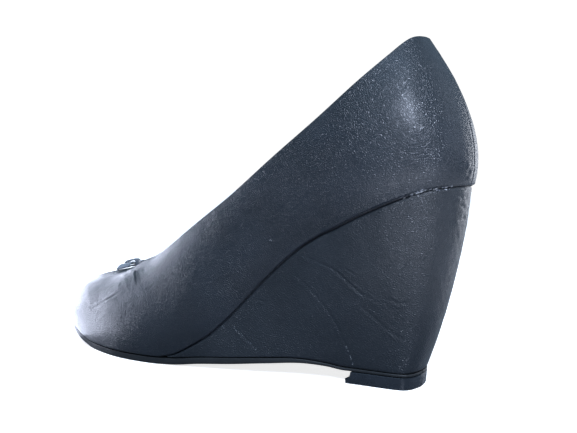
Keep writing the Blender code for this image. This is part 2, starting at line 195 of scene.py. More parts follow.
# Mesh steps to each span round the shoe, and levels from the seam up or down
UPPER_STEPS = 23
UPPER_LEVELS = 84
LINING_STEPS = 10
LINING_LEVELS = 24
WEDGE_STEPS = 36
WEDGE_LEVELS = 100
SOLE_STEPS = 16
RIBBON_STEPS = 120
BAND_STEPS = 48
PATH_STEPS = 8

# How far the upper's levels crowd at the seam and the topline, and the angles in degrees past
# which an edge stays sharp
CROWDING = 0.45
BOW_SHARP = 60.0
TIP_SHARP = 35.0


def unit(vectors):
    """Vectors of length one, each along one of these."""
    return vectors / np.linalg.norm(vectors, axis=-1, keepdims=True)


def ease(value):
    """A smooth step from 0 to 1."""
    value = np.clip(value, 0.0, 1.0)
    return value * value * (3 - 2 * value)


def column(table, name):
    """One named column of a table as an array."""
    return np.array([row[name] for row in table], dtype=float)


def through(table, name, along):
    """Value of a column at places along the shoe, on a smooth curve with no overshoot."""
    order = np.argsort(column(table, "along"))
    places = column(table, "along")[order]
    values = column(table, name)[order]
    gaps = np.diff(places)
    slopes = np.diff(values) / gaps
    tangents = np.concatenate([slopes[:1], np.zeros(len(slopes) - 1), slopes[-1:]])
    same_way = slopes[:-1] * slopes[1:] > 0
    before = np.where(same_way, slopes[:-1], 1.0)
    after = np.where(same_way, slopes[1:], 1.0)
    mean = (gaps[:-1] + gaps[1:]) / (gaps[:-1] / after + gaps[1:] / before)
    tangents[1:-1] = np.where(same_way, mean, 0.0)
    along = np.clip(along, places[0], places[-1])
    span = np.clip(np.searchsorted(places, along, side="right") - 1, 0, len(gaps) - 1)
    t = (along - places[span]) / gaps[span]
    start = values[span] * (1 + 2 * t) * (1 - t) ** 2
    start += gaps[span] * tangents[span] * t * (1 - t) ** 2
    end = values[span + 1] * t * t * (3 - 2 * t)
    end += gaps[span] * tangents[span + 1] * t * t * (t - 1)
    return start + end


def tread_height(along):
    """Height of the outsole's underside above the floor."""
    spring = through(TREAD, "spring", along) * TOE_SPRING
    return spring + through(TREAD, "heel", along) * HEEL_LIFT


def sole_height(along):
    """Height of the outsole's upper face."""
    return tread_height(along) + through(OUTSOLE, "thick", along) * OUTSOLE_THICKNESS


def seam_height(along):
    """Height of the seam where the upper meets the wedge or the outsole."""
    return sole_height(along) + CLEARANCE + through(WEDGE, "height", along) * WEDGE_HEIGHT


def round_trip(outer, inner):
    """Rows once round the shoe: toe, outer side, heel, inner side."""
    return np.concatenate([outer, inner[1:-1][::-1]])


def smooth_loop(points, steps):
    """A closed curve through the points, with even curvature and some steps to each span."""
    count = len(points)
    ties = 4 * np.eye(count) + np.roll(np.eye(count), 1, 0) + np.roll(np.eye(count), -1, 0)
    after = np.roll(points, -1, axis=0)
    bends = np.linalg.solve(ties, 6 * (after - 2 * points + np.roll(points, 1, axis=0)))
    bends_after = np.roll(bends, -1, axis=0)
    t = (np.arange(steps) / steps)[None, :, None]
    chord = (after - points - (2 * bends + bends_after) / 6)[:, None, :]
    curve = points[:, None, :] + t * chord + t ** 2 * bends[:, None, :] / 2
    curve = curve + t ** 3 * (bends_after - bends)[:, None, :] / 6
    return curve.reshape(count * steps, points.shape[1])


def outward(loop):
    """Level unit vectors that point away from a closed loop."""
    along = np.roll(loop, -1, axis=0) - np.roll(loop, 1, axis=0)
    away = unit(np.stack([along[:, 1], -along[:, 0], np.zeros(len(loop))], axis=1))
    side = np.sum((loop[:, :2] - loop[:, :2].mean(axis=0)) * away[:, :2])
    return away * math.copysign(1.0, side)


def outline(table, name, base_width, end_width):
    """Level outline of a table's rows, as (distance from the heel, side, 0)."""
    half = (base_width + column(table, name) * (end_width - base_width)) / 2
    along = column(table, "along") * LENGTH
    outer = np.stack([along, -column(table, "outer") * half, 0 * along], axis=1)
    inner = np.stack([along, column(table, "inner") * half, 0 * along], axis=1)
    return round_trip(outer, inner)


def seam_loop(steps, inset=0.0):
    """The seam round the last, moved inward by the inset and lying at the seam's height."""
    loop = smooth_loop(outline(LAST, "seat", BALL_WIDTH, SEAT_WIDTH), steps)
    loop = loop - outward(loop) * inset
    loop[:, 2] = seam_height(loop[:, 0] / LENGTH)
    return loop


def wedge_top_loop(steps):
    """The wedge's upper edge: under the seam, and stepped in a little round the heel."""
    loop = seam_loop(steps)
    share = ease(1 - loop[:, 0] / (STEP_FRONT * LENGTH))
    loop = loop - outward(loop) * WEDGE_STEP * share[:, None]
    loop[:, 2] -= CLEARANCE
    return loop


def sole_loop(steps):
    """The outline of the outsole."""
    return smooth_loop(outline(TREAD_OUTLINE, "tip", BALL_WIDTH, TIP_WIDTH), steps)


def upper_surface(steps, shares):
    """Outer face of the upper at shares of the way from the seam (0) to the topline (1)."""
    rows = len(LAST)
    low = outline(LAST, "seat", BALL_WIDTH, SEAT_WIDTH)
    low[:, 2] = seam_height(low[:, 0] / LENGTH)
    counter_top = SEAT_HEIGHT + COUNTER_HEIGHT
    along = column(LAST, "top_along") * LENGTH
    height = THROAT_HEIGHT + column(LAST, "rise") * (counter_top - THROAT_HEIGHT)
    half = COLLAR_WIDTH / 2
    top_outer = np.stack([along, -column(LAST, "top_outer") * half, height], axis=1)
    top_inner = np.stack([along, column(LAST, "top_inner") * half, height], axis=1)
    top = round_trip(top_outer, top_inner)
    around = round_trip(np.arange(rows), np.arange(rows))
    reach = np.linalg.norm(top - low, axis=1, keepdims=True)
    up = np.array([0.0, 0.0, 1.0])
    names = ("lean_out", "lean_in", "low", "high")
    lean_out, lean_in, keep_low, keep_top = (column(LAST, name)[around][:, None] for name in names)
    lean_out = np.radians(lean_out)
    lean_in = np.radians(lean_in)
    away_low = outward(low)
    away_top = unit(away_low + outward(top))
    low_pull = reach * keep_low * (away_low * np.sin(lean_out) + up * np.cos(lean_out))
    top_pull = reach * keep_top * (away_top * np.sin(lean_in) - up * np.cos(lean_in))
    first = seam_loop(steps)[:, None, :]
    second = first + smooth_loop(low_pull, steps)[:, None, :]
    last = smooth_loop(top, steps)[:, None, :]
    third = last + smooth_loop(top_pull, steps)[:, None, :]
    t = np.asarray(shares)[None, :, None]
    face = first * (1 - t) ** 3 + 3 * second * t * (1 - t) ** 2
    return face + 3 * third * t ** 2 * (1 - t) + last * t ** 3


def surface_normals(grid, closed=True):
    """Unit normals of a grid, pointing away from the middle of the shoe."""
    if closed:
        around = np.roll(grid, -1, axis=0) - np.roll(grid, 1, axis=0)
    else:
        around = np.gradient(grid, axis=0)
    upward = np.gradient(grid, axis=1)
    normals = np.cross(around, upward)
    normals /= np.linalg.norm(normals, axis=2)[:, :, None] + 1e-12
    middle = grid[:, :1].mean(axis=(0, 1))
    side = np.sum((grid[:, 0, :2] - middle[:2]) * normals[:, 0, :2])
    return normals * math.copysign(1.0, side)


def to_path(points, path):
    """Distance of each point from a path, and the share of the way along it."""
    path = np.asarray(path, dtype=float)
    starts = path[:-1]
    runs = path[1:] - starts
    lengths = np.linalg.norm(runs, axis=1)
    done = np.concatenate([[0.0], np.cumsum(lengths)[:-1]])
    best = np.full(points.shape[:-1], 1e9)
    share = np.zeros(points.shape[:-1])
    for start, run, length, before in zip(starts, runs, lengths, done):
        t = np.clip(np.sum((points - start) * run, axis=-1) / length ** 2, 0.0, 1.0)
        gap = np.linalg.norm(points - start - t[..., None] * run, axis=-1)
        nearer = gap < best
        best = np.where(nearer, gap, best)
        share = np.where(nearer, (before + t * length) / lengths.sum(), share)
    return best, share


def smooth_path(points):
    """Points on a smooth curve through a few given points."""
    points = np.asarray(points, dtype=float)
    if len(points) < 3:
        return points
    ends = np.vstack([2 * points[0] - points[1], points, 2 * points[-1] - points[-2]])
    made = []
    for a, b, c, d in zip(ends, ends[1:], ends[2:], ends[3:]):
        for t in np.arange(PATH_STEPS) / PATH_STEPS:
            made.append(b + t * (c - a) / 2 + t ** 2 * (a - 2.5 * b + 2 * c - d / 2)
                        + t ** 3 * (1.5 * (b - c) + (d - a) / 2))
    return np.array(made + [points[-1]])


# Creases: how quickly their ends fade, and their lips' place and width in widths of the trough
END_FADE = 0.6
LIP_PLACE = 2.1
LIP_WIDTH = 1.1

# Waves: how many cross, and the share of the depth that each has
WAVE_COUNT = 9
WAVE_SHARE = 0.25


def crease_relief(points, creases):
    """How far each point moves out for a list of soft troughs with raised lips."""
    relief = np.zeros(points.shape[:-1])
    for row in creases:
        gap, share = to_path(points, smooth_path(row["path"]) * MM)
        fade = np.clip(4 * share * (1 - share), 0.0, 1.0) ** END_FADE
        width = row["width"] * MM
        trough = np.exp(-(gap / width) ** 2)
        lip = np.exp(-((gap / width - LIP_PLACE) / LIP_WIDTH) ** 2)
        relief += fade * row["depth"] * MM * (row["lip"] * lip - trough)
    return relief


def waves(points, rows):
    """Soft uneven relief: for each row of depth, size and seed a few crossing sine waves."""
    total = np.zeros(points.shape[:-1])
    for depth, size, seed in rows:
        chance = np.random.default_rng(seed)
        for _ in range(WAVE_COUNT):
            direction = unit(chance.normal(size=3))
            turns = 2 * math.pi / (size * MM * chance.uniform(0.6, 1.6))
            phase = chance.uniform(0, 2 * math.pi)
            total += depth * MM * WAVE_SHARE * np.sin(points @ direction * turns + phase)
    return total


def to_frame(points):
    """From (distance from the heel, side, height) to the frame's X, Y and Z."""
    placed = np.array(points, dtype=float)
    placed[..., 0] = LENGTH / 2 - placed[..., 0]
    return placed


def tube_faces(rings, ring_size, closed):
    """Quads between neighbouring rings; a tube that isn't closed gets a face at each end."""
    faces = []
    for ring in range(rings if closed else rings - 1):
        here = ring * ring_size
        there = ((ring + 1) % rings) * ring_size
        for step in range(ring_size):
            after = (step + 1) % ring_size
            faces.append((here + step, here + after, there + after, there + step))
    if not closed:
        faces.append(tuple(range(ring_size))[::-1])
        faces.append(tuple((rings - 1) * ring_size + step for step in range(ring_size)))
    return faces


def make_piece(name, points, faces, finish, replaced=(), sharp_angle=50.0):
    """A closed mesh piece in the frame, riding on the shoe's one body."""
    placed = to_frame(points).reshape(-1, 3)
    mesh = bpy.data.meshes.new(name)
    mesh.from_pydata(placed.tolist(), [], faces)
    mesh.materials.append(finish)
    piece = bpy.data.objects.new(name, mesh)
    bpy.context.scene.collection.objects.link(piece)
    quads = np.array([face for face in faces if len(face) == 4])
    a, b, c, d = (placed[quads[:, corner]] for corner in range(4))
    volume = np.sum(a * np.cross(b, c)) + np.sum(a * np.cross(c, d))
    if volume < 0:
        mesh.flip_normals()
    mesh.shade_smooth()
    mesh.set_sharp_from_angle(angle=math.radians(sharp_angle))
    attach(piece, "root")
    if replaced:
        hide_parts(*replaced)
    return piece


def grid_piece(name, sections, finish, replaced=(), closed=True, sharp_angle=50.0):
    """A piece from closed sections that follow each other."""
    faces = tube_faces(*sections.shape[:2], closed)
    return make_piece(name, sections, faces, finish, replaced, sharp_angle)


def add_tube(points, faces, rings):
    """Add a small tube with closed ends to the points and faces of a piece."""
    base = len(points)
    for ring in rings:
        points += ring
    for face in tube_faces(len(rings), len(rings[0]), False):
        faces.append(tuple(base + corner for corner in face))


def sides(loop):
    """The loop's outer and inner halves, both from the toe to the heel, without the two tips."""
    half = len(loop) // 2
    return loop[1:half], loop[half + 1:][::-1]


class Nodes:
    """Short calls for the nodes of one tree."""

    def __init__(self, tree):
        self.tree = tree
        self.coordinates = self.add("ShaderNodeTexCoord")
        self.place = self.coordinates.outputs["Object"]

    def put(self, socket, value):
        """Give a socket a value or a link."""
        if isinstance(value, bpy.types.NodeSocket):
            self.tree.links.new(value, socket)
        elif socket.type == "RGBA":
            socket.default_value = (*value, 1.0)
        else:
            socket.default_value = value

    def fill(self, node, values):
        """Give a node's sockets values or links by their names."""
        for name, value in values.items():
            self.put(next(s for s in node.inputs if s.name == name and s.enabled), value)
        return node

    def add(self, kind, values=(), **settings):
        """A new node with these values or links, and these settings."""
        node = self.tree.nodes.new(kind)
        for name, value in settings.items():
            setattr(node, name, value)
        return self.fill(node, dict(values))

    def noise(self, scale, detail=3.0, roughness=0.55, place=None):
        values = dict(Scale=scale, Detail=detail, Roughness=roughness, Vector=place or self.place)
        return self.add("ShaderNodeTexNoise", values).outputs["Fac"]

    def cells(self, scale, feature="F1", place=None):
        values = dict(Scale=scale, Vector=place or self.place)
        return self.add("ShaderNodeTexVoronoi", values, feature=feature).outputs["Distance"]

    def stretched(self, x, y, z):
        values = dict(Scale=(x, y, z), Vector=self.place)
        return self.add("ShaderNodeMapping", values).outputs["Vector"]

    def ramp(self, source, low, high, start=0.0, end=1.0):
        values = {"Value": source, "From Min": low, "From Max": high, "To Min": start, "To Max": end}
        node = self.add("ShaderNodeMapRange", values, interpolation_type="SMOOTHSTEP")
        return node.outputs["Result"]

    def maths(self, operation, first, second):
        node = self.add("ShaderNodeMath", operation=operation)
        self.put(node.inputs[0], first)
        self.put(node.inputs[1], second)
        return node.outputs["Value"]

    def mix(self, factor, first, second):
        node = self.add("ShaderNodeMix", dict(Factor=factor, A=first, B=second), data_type="RGBA")
        return next(s for s in node.outputs if s.enabled)

    def bump(self, height, strength, distance, after=None):
        values = dict(Height=height, Strength=strength, Distance=distance)
        if after:
            values["Normal"] = after
        return self.add("ShaderNodeBump", values).outputs["Normal"]

    def show(self, output, others, camera):
        """One shader for what the camera sees itself, and another for all other rays."""
        node = self.add("ShaderNodeMixShader")
        rays = self.add("ShaderNodeLightPath").outputs["Is Camera Ray"]
        for socket, source in zip(node.inputs, (rays, others, camera)):
            self.put(socket, source)
        self.put(self.tree.nodes[output].inputs["Surface"], node.outputs["Shader"])


class Finish(Nodes):
    """A material with its shader."""

    def __init__(self, name):
        self.material = bpy.data.materials.new(name)
        self.material.use_nodes = True
        super().__init__(self.material.node_tree)
        self.shader = self.tree.nodes["Principled BSDF"]

    def tones(self, source, low, high, dark, pale):
        """Two tones, mixed where the source runs from low to high."""
        return self.mix(self.ramp(source, low, high), dark, pale)

    def done(self, **values):
        """The material, with these values or links on its shader."""
        self.fill(self.shader, {name.replace("_", " "): value for name, value in values.items()})
        return self.material


def pebbled_leather():
    """The upper's leather: blue black, fine pebble grain, soft gloss, and pale specks of painted glint."""
    n = Finish("pebbled_leather")
    colour = n.tones(n.noise(38.0, 4.0), 0.35, 0.68, (0.0052, 0.0074, 0.0108), (0.0080, 0.0110, 0.0158))
    # Painted glints: faint pale specks mixed into the base colour at the size of the grain.
    painted_glint_specks = n.ramp(n.noise(1900.0, 2.0), 0.58, 0.78, 0.0, 0.2)
    pebbles = n.ramp(n.cells(1150.0, "DISTANCE_TO_EDGE"), 0.0, 0.30)
    grain = n.maths("ADD", pebbles, n.maths("MULTIPLY", n.noise(1900.0, 3.0), 0.4))
    soft = n.bump(n.noise(150.0, 3.0), 0.20, 0.0012)
    return n.done(
        Base_Color=n.mix(painted_glint_specks, colour, (0.026, 0.032, 0.044)),
        Roughness=n.ramp(n.noise(60.0, 5.0, 0.6), 0.3, 0.75, 0.30, 0.37),
        Normal=n.bump(grain, 0.60, 0.00020, soft),
        IOR=1.47, Coat_Weight=0.12, Coat_Roughness=0.28, Coat_IOR=1.45)


def ribbon_painted_glare():
    """The bow's ribbon: a soft sheen over a grey blue far paler than the upper's blue black, a painted
    glare.
    """
    n = Finish("ribbon_painted_glare")
    # Painted glare: the base colour is far paler than the upper's leather, for the bright light that
    # washes over the bow.
    return n.done(
        Base_Color=n.tones(n.noise(120.0, 4.0), 0.35, 0.68, (0.100, 0.110, 0.130), (0.140, 0.150, 0.172)),
        Roughness=n.ramp(n.noise(200.0, 4.0), 0.3, 0.75, 0.24, 0.32),
        Normal=n.bump(n.noise(1800.0, 3.0), 0.25, 0.0002),
        IOR=1.5, Coat_Weight=0.5, Coat_Roughness=0.20, Sheen_Weight=1.0, Sheen_Roughness=0.30)


def cover_leather():
    """The wedge's cover: the same blue black, smoother, with faint pulls and scuffs."""
    n = Finish("cover_leather")
    colour = n.tones(n.noise(30.0, 4.0), 0.35, 0.70, (0.0066, 0.0088, 0.0118), (0.0104, 0.0132, 0.0170))
    dust = n.ramp(n.noise(520.0, 5.0, 0.7), 0.66, 0.80, 0.0, 0.35)
    pebbles = n.ramp(n.cells(1100.0, "DISTANCE_TO_EDGE", n.stretched(0.8, 1.0, 1.15)), 0.0, 0.42)
    small = n.maths("MULTIPLY", n.noise(1700.0, 3.0), 0.9)
    grain = n.maths("ADD", n.maths("MULTIPLY", pebbles, 0.7), small)
    soft = n.bump(n.noise(110.0, 4.0), 0.25, 0.0012)
    return n.done(
        Base_Color=n.mix(dust, colour, (0.060, 0.066, 0.080)),
        Roughness=n.ramp(n.noise(45.0, 5.0, 0.6), 0.3, 0.75, 0.30, 0.40),
        Normal=n.bump(grain, 0.80, 0.00022, soft),
        IOR=1.45, Coat_Weight=0.10, Coat_Roughness=0.35, Coat_IOR=1.45)


def sole_rubber():
    """The outsole: dull near black rubber with a faint cross texture."""
    n = Finish("sole_rubber")
    scratches = n.noise(420.0, 4.0, 0.65, n.stretched(0.15, 1.0, 1.0))
    return n.done(
        Base_Color=n.tones(n.noise(70.0, 5.0), 0.35, 0.70, (0.004, 0.005, 0.006), (0.008, 0.009, 0.010)),
        Roughness=n.ramp(n.noise(160.0, 4.0), 0.3, 0.7, 0.48, 0.62),
        Normal=n.bump(scratches, 0.35, 0.0004), IOR=1.5)


def tip_plastic():
    """The top piece: hard black plastic with a low gloss and fine scratches."""
    n = Finish("tip_plastic")
    scratches = n.noise(900.0, 3.0, 0.6, n.stretched(0.2, 1.0, 1.0))
    return n.done(
        Base_Color=n.tones(n.noise(120.0, 4.0), 0.35, 0.70, (0.010, 0.013, 0.017), (0.017, 0.021, 0.027)),
        Roughness=n.ramp(n.noise(300.0, 4.0), 0.3, 0.7, 0.24, 0.34),
        Normal=n.bump(scratches, 0.15, 0.0003), IOR=1.5)


def lining_leather():
    """Lining and sock: plain dark matt leather with a faint grain."""
    n = Finish("lining_leather")
    grain = n.maths("ADD", n.ramp(n.cells(1300.0), 0.1, 0.7, 1.0, 0.0), n.noise(2400.0, 2.0))
    return n.done(
        Base_Color=n.tones(n.noise(45.0, 4.0), 0.35, 0.70, (0.030, 0.030, 0.033), (0.044, 0.044, 0.047)),
        Roughness=n.ramp(n.noise(90.0, 4.0), 0.3, 0.7, 0.60, 0.74),
        Normal=n.bump(grain, 0.22, 0.0002), IOR=1.45)


def pale_fleck_finish():
    """Pale flecks: a line of them under the seam, and scuffs of worn finish."""
    n = Finish("pale_fleck_finish")
    return n.done(
        Base_Color=n.tones(n.noise(700.0, 3.0), 0.35, 0.65, (0.110, 0.120, 0.145), (0.420, 0.430, 0.450)),
        Normal=n.bump(n.noise(2600.0, 2.0), 0.3, 0.0002), Roughness=0.35)


def thread():
    """Black lining thread."""
    n = Finish("thread")
    twist = n.noise(3000.0, 2.0)
    return n.done(
        Base_Color=n.tones(twist, 0.3, 0.7, (0.020, 0.020, 0.024), (0.050, 0.050, 0.056)),
        Normal=n.bump(twist, 0.4, 0.0002), Roughness=0.62)


# Creases of the upper: depth, width and path in millimetres, and the share of the depth to which
# the lips beside the trough rise
UPPER_CREASES = named_rows("depth width lip path", (
    (0.28, 0.55, 0.35, [(183, -32.4, 25.0), (177.5, -32.8, 27.8), (172, -32.5, 30.5)]),
    (0.34, 0.42, 0.5, [(168.8, -23.4, 41.5), (165.0, -27.1, 39.8), (162.3, -29.6, 38.2),
        (159.4, -32.0, 36.0)]),
    (0.16, 0.5, 0.35, [(151.8, -35.0, 34.2), (147.9, -35.1, 35.5), (145.7, -34.5, 37.6)]),
    (0.22, 0.5, 0.35, [(9.4, -20.9, 106), (9.0, -21.4, 102), (9.2, -21.6, 98)]),
    (0.45, 1.3, 0.5, [(0.2, -6.2, 91.0), (0.0, -3.0, 92.0)]),
    (0.14, 0.7, 0.35, [(196, -29.4, 19.0), (187, -32.0, 22.2), (181, -33.2, 24.4)]),
    (0.10, 2.2, 0.2, [(129, -33, 40), (121, -32, 47), (111, -31, 53)]),
    (0.35, 1.0, 0.35, [(150, 33, 36), (143, 34, 33), (136, 34, 27)]),
    (0.30, 0.9, 0.35, [(158, 29, 38), (152, 32.5, 34), (146, 34.5, 28)]),
))

# Creases of the wedge's cover, in the same columns
WEDGE_CREASES = named_rows("depth width lip path", (
    (0.40, 0.48, 0.35, [(71, -26, 56.2), (61, -25.9, 52.9), (53, -25.6, 50.3), (46.8, -24.9, 46.1),
        (41.6, -24, 41.7), (34.7, -22.8, 37.9), (29.5, -22, 36.4)]),
    (0.34, 0.42, 0.35, [(43.5, -24.4, 43.4), (36, -23, 36.6), (31, -22.2, 34.4)]),
    (0.42, 0.48, 0.35, [(28, -21.7, 38.6), (23.1, -20.4, 37.0), (18.6, -19.2, 38.2)]),
    (0.42, 0.42, 0.35, [(46.6, -25.3, 50.6), (43.5, -25, 49.0), (40.4, -24.6, 47.3)]),
    (0.30, 0.48, 0.35, [(40.5, -23, 35), (33.5, -21.5, 29.5), (27.8, -19.9, 24.8), (20, -17.3, 20.7)]),
    (0.16, 0.6, 0.35, [(76, -26.2, 50), (62.4, -25.3, 39.3), (51.8, -23, 26.1), (45.4, -19.6, 8.8)]),
    (0.34, 0.36, 0.35, [(90.8, -27.9, 33.9), (85.2, -27.1, 33.1)]),
    (0.18, 0.45, 0.35, [(103.2, -30.8, 22.4), (95.9, -29.4, 16.7), (88.4, -28.2, 10.6)]),
    (0.20, 0.6, 0.35, [(14.5, -17.5, 46), (13.5, -10, 42), (12.5, -3, 40)]),
    (0.18, 0.6, 0.35, [(15, -15.5, 38.5), (14, -8, 34), (13.5, -1, 33)]),
    (0.18, 0.6, 0.35, [(17, -14.5, 30), (16, -8, 27.5), (15.5, -2, 27)]),
    (-0.16, 2.6, 0.1, [(33, -22.6, 80), (30, -22.8, 68), (29.5, -22.2, 56)]),
    (0.34, 0.7, 0.5, [(4.6, -12.0, 82.6), (2.2, -6.5, 81.4), (1.9, -1.0, 81.8)]),
    (0.28, 0.7, 0.5, [(4.4, -11.0, 77.0), (2.4, -5.0, 77.6), (2.0, 1.0, 76.2)]),
    (0.24, 0.8, 0.5, [(5.2, -11.5, 72.4), (3.2, -5.0, 71.8), (2.9, 1.0, 72.6)]),
    (0.08, 0.7, 0.35, [(60, -24.6, 74), (44, -24.4, 70), (24, -22.4, 62)]),
    (0.08, 0.7, 0.35, [(58, -24.8, 66), (42, -24.2, 62), (27, -22.0, 55)]),
))

# Soft waves in the skins: depth and size in millimetres, and a seed
UPPER_WAVES = ((0.10, 26, 4), (0.035, 7, 9))
WEDGE_WAVES = ((0.09, 22, 14), (0.03, 6, 19))
REAR_WAVES = ((0.07, 3.4, 23),)


def edge_turn(distance, radius):
    """How far a rounded edge falls back at a distance from its end."""
    share = np.clip(1 - distance / radius, 0.0, 1.0)
    return radius * (1 - np.sqrt(np.clip(1 - share ** 2, 0.0, 1.0)))


def running_length(grid):
    """Distance along each line of a grid's second axis, from its start."""
    steps = np.linalg.norm(np.diff(grid, axis=1), axis=2)
    return np.concatenate([np.zeros((len(grid), 1)), np.cumsum(steps, axis=1)], axis=1)


def along_path(path, shares):
    """Points at shares of the way along a path, and the path's length."""
    done = running_length(path[None])[0]
    places = np.asarray(shares) * done[-1]
    return np.stack([np.interp(places, done, path[:, axis]) for axis in range(3)], axis=-1), done[-1]


# The upper's leather: its share of the wall, the turned edges at the seam and the fold at the
# collar in degrees, and the calm strips beside them
LEATHER_SHARE = 0.55
SEAM_ROUND = 1.1 * MM
SEAM_SINK = 0.75
CALM_STRIP = 3 * MM
FOLD_HEIGHT = 0.72 * MM
FOLD_TURNS = (22, 45, 68, 90, 112, 135, 158, 180, 205)
TUCK_GAP = 0.05 * MM
INNER_STRIDE = 6

# The seam up the back: a groove in a flat strip that fades out towards the quarters
BACK_REACH = 40 * MM
BACK_FADE = 20 * MM
GROOVE_DEPTH = 0.28 * MM
GROOVE_WIDTH = 0.40 * MM
STRIP_HEIGHT = 0.08 * MM
STRIP_HALF = 3.4 * MM
STRIP_EDGE = 1.2 * MM

# The lining: its distance from the leather, and the share of the way to the topline
LINING_GAP = 0.12 * MM
LINING_TOP = 0.975

# Edges of the wedge's cover, the sole and the sock
COVER_CALM = 2.5 * MM
COVER_ROUND = 0.6 * MM
COVER_SINK = 0.6
REAR_REACH = 16 * MM
REAR_FADE = 10 * MM
SOLE_EDGE = 0.35 * MM
SOCK_EDGE = 0.5 * MM
EDGE_ROOM = 2.2


def make_upper(finish):
    """The upper's leather, from the seam to its folded edge at the collar."""
    even = np.linspace(0.0, 1.0, UPPER_LEVELS + 1)
    crowded = 0.5 - 0.5 * np.cos(even * math.pi)
    face = upper_surface(UPPER_STEPS, even + CROWDING * (crowded - even))
    normals = surface_normals(face)
    from_seam = running_length(face)
    from_top = from_seam[:, -1:] - from_seam
    relief = crease_relief(face, UPPER_CREASES) + waves(face, UPPER_WAVES)
    relief *= ease(from_seam / CALM_STRIP) * ease(from_top / CALM_STRIP)
    relief -= SEAM_SINK * edge_turn(from_seam, SEAM_ROUND)
    side = np.abs(face[:, :, 1])
    heel = ease((BACK_REACH - face[:, :, 0]) / BACK_FADE)
    relief -= heel * GROOVE_DEPTH * np.exp(-(side / GROOVE_WIDTH) ** 2)
    relief += heel * STRIP_HEIGHT * ease((STRIP_HALF - side) / STRIP_EDGE)
    outer = face + normals * relief[:, :, None]
    inner = face - normals * WALL * LEATHER_SHARE
    inner[:, 0] = seam_loop(UPPER_STEPS, WALL * LEATHER_SHARE)
    middle = (outer[:, -1] + (face - normals * WALL)[:, -1]) / 2
    across = outer[:, -1] - middle
    upward = unit(face[:, -1] - face[:, -3]) * FOLD_HEIGHT
    fold = [middle + across * math.cos(turn) + upward * math.sin(turn) for turn in np.radians(FOLD_TURNS)]
    tucked = face - normals * (WALL + TUCK_GAP)
    fold += [tucked[:, -2], tucked[:, -4]]
    lowered = inner[:, ::-1][:, INNER_STRIDE::INNER_STRIDE]
    sections = np.concatenate([outer, np.stack(fold, axis=1), lowered], axis=1)
    return grid_piece("upper_leather", sections, finish, ("upper",))


def make_lining(finish):
    """The lining inside the upper's leather, ending just under the folded edge."""
    face = upper_surface(LINING_STEPS, np.linspace(0.0, LINING_TOP, LINING_LEVELS + 1))
    normals = surface_normals(face)
    layers = []
    for depth in (WALL * LEATHER_SHARE + LINING_GAP, WALL):
        layer = face - normals * depth
        layer[:, 0] = seam_loop(LINING_STEPS, depth)
        layers.append(layer)
    back, front = layers
    sections = np.concatenate([back, front[:, ::-1]], axis=1)
    return grid_piece("upper_lining", sections, finish)


def folded_sheet(columns, levels):
    """Faces of a sheet bent round the heel: its side, the caps over and under it and its front."""
    lines = np.arange(columns * levels).reshape(columns, levels).tolist()
    faces = []
    for here, there in zip(lines, lines[1:]):
        for level in range(levels - 1):
            faces.append((here[level], here[level + 1], there[level + 1], there[level]))
    for place in range(columns // 2):
        across = columns - 1 - place
        lid = [lines[place], lines[place + 1], lines[across - 1], lines[across]]
        base = [lid[1], lid[0], lid[3], lid[2]]
        if place + 1 == across - 1:
            del lid[2], base[3]
        faces += [tuple(line[0] for line in lid), tuple(line[-1] for line in base)]
    first, last = lines[0], lines[-1]
    for level in range(levels - 1):
        faces.append((first[level + 1], first[level], last[level], last[level + 1]))
    return faces


def make_wedge(finish):
    """The wedge's leather cover, one sheet round the heel, creased as in wear."""
    base = sole_loop(WEDGE_STEPS)
    base[:, 2] = sole_height(base[:, 0] / LENGTH) + CLEARANCE
    top = wedge_top_loop(WEDGE_STEPS)
    thick = np.minimum(*[side[:, 2] for side in sides(top - base)])
    first = int(np.argmax(thick > SKIVED_EDGE)) + 1
    around = np.arange(first, len(top) - first + 1)
    high = top[around][:, None, :]
    low = base[around][:, None, :]
    t = np.linspace(0.0, 1.0, WEDGE_LEVELS)[None, :, None]
    tuck = WEDGE_TUCK * t + (1 - WEDGE_TUCK) * t ** 2
    wall = high + (low - high) * tuck
    wall[:, :, 2] = (high + (low - high) * t)[:, :, 2]
    normals = surface_normals(wall, closed=False)
    length = running_length(wall)
    below = length[:, -1:] - length
    relief = crease_relief(wall, WEDGE_CREASES) + waves(wall, WEDGE_WAVES)
    relief += ease((REAR_REACH - wall[:, :, 0]) / REAR_FADE) * waves(wall, REAR_WAVES)
    relief *= ease(length / COVER_CALM) * ease(below / COVER_CALM)
    relief -= SEAM_SINK * edge_turn(length, SEAM_ROUND) + COVER_SINK * edge_turn(below, COVER_ROUND)
    wall = wall + normals * relief[:, :, None]
    return make_piece("wedge_cover", wall, folded_sheet(len(wall), WEDGE_LEVELS), finish,
                      ("wedge",))


def soft_slab(name, loop, low_height, high_height, edge, finish, node):
    """A slab with rounded upper and lower edges between two heights along the shoe."""
    away = outward(loop)
    rings = []
    for above, turns in ((True, (90, 60, 30, 0)), (False, (0, 30, 60, 90))):
        for turn in np.radians(turns):
            ring = loop - away * edge * (1 - math.cos(turn))
            low = low_height(ring[:, 0] / LENGTH)
            high = high_height(ring[:, 0] / LENGTH)
            room = np.minimum(1.0, (high - low) / (EDGE_ROOM * edge))
            shift = edge * (1 - math.sin(turn)) * room
            ring[:, 2] = high - shift if above else low + shift
            rings.append(sides(ring))
    sections = [outer for outer, inner in rings] + [inner for outer, inner in rings[::-1]]
    return grid_piece(name, np.stack(sections, axis=1), finish, (node,), closed=False)


def make_outsole(finish):
    """The outsole with softly rounded edges."""
    return soft_slab("outsole_rubber", sole_loop(SOLE_STEPS), tread_height, sole_height,
                     SOLE_EDGE, finish, "outsole")


def make_insole(finish):
    """The sock on the insole, with softly rounded edges."""
    loop = seam_loop(SOLE_STEPS, WALL + INSOLE_PLAY)
    return soft_slab("sock", loop, seam_height, lambda along: seam_height(along) + INSOLE_THICKNESS,
                     SOCK_EDGE, finish, "insole")


